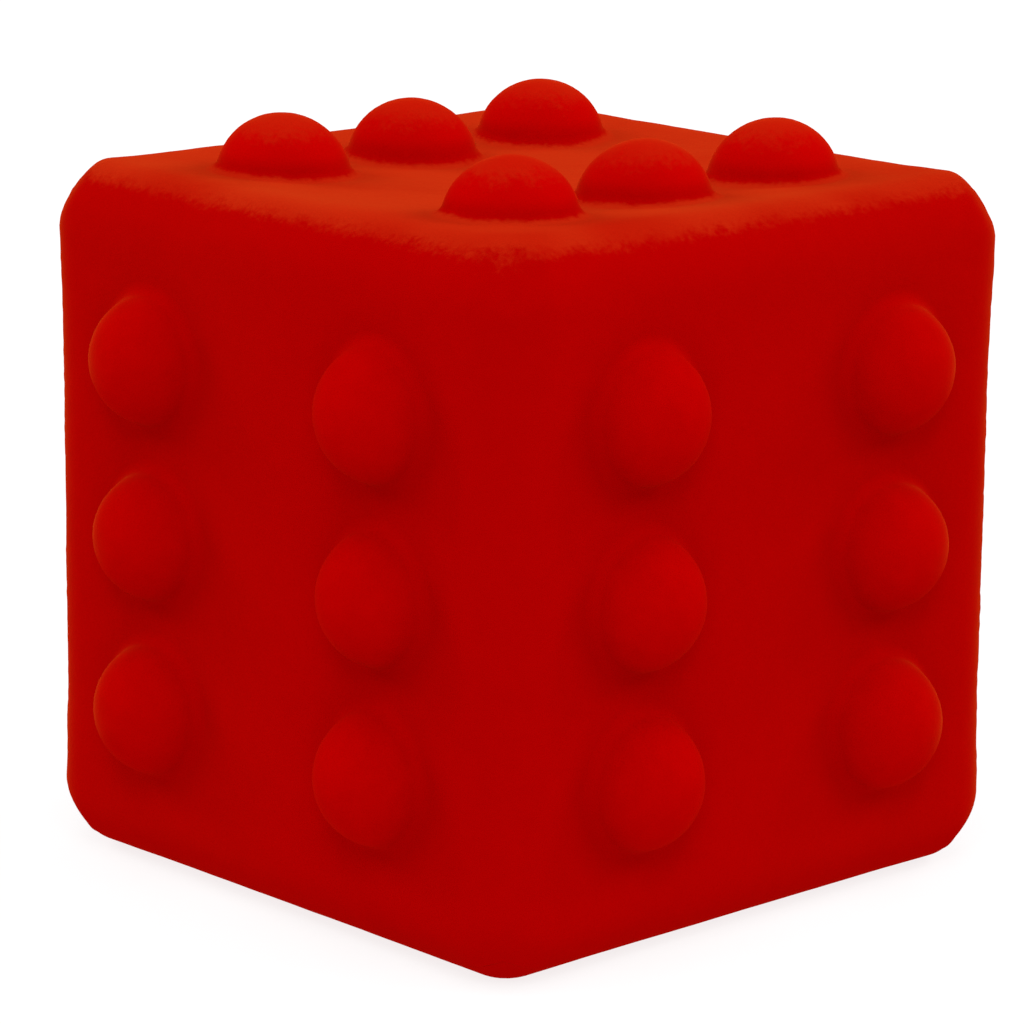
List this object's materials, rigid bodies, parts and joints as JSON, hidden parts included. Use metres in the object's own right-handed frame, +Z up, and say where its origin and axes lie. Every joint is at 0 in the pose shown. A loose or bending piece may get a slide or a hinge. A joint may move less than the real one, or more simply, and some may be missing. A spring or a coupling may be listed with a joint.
{
  "type": "giant yard die",
  "caption": "Large soft yard die: a cube with rounded edges, rows of raised domes on its sides and top and a flat base, a rubber skin in two moulded halves over foam.",
  "frame": {"origin": "on the ground, under the middle of the die's flat bottom face", "axes": "+Z up; +X is the outward normal of the right-hand visible face and -Y that of the left-hand one, so the front vertical edge is at +X, -Y"},
  "size_m": [0.1042, 0.1042, 0.0979],
  "materials": {
    "skin_rubber": "saturated red, matte and velvety, fine grain",
    "plug_rubber": "darker red, matte",
    "core_foam": "cream open-cell foam"
  },
  "bodies": {
    "root": {"front_shell": "skin_rubber", "rear_shell": "skin_rubber", "foam_core": "core_foam", "fill_plug": "plug_rubber", "vent_plug": "plug_rubber"}
  },
  "joints": []
}
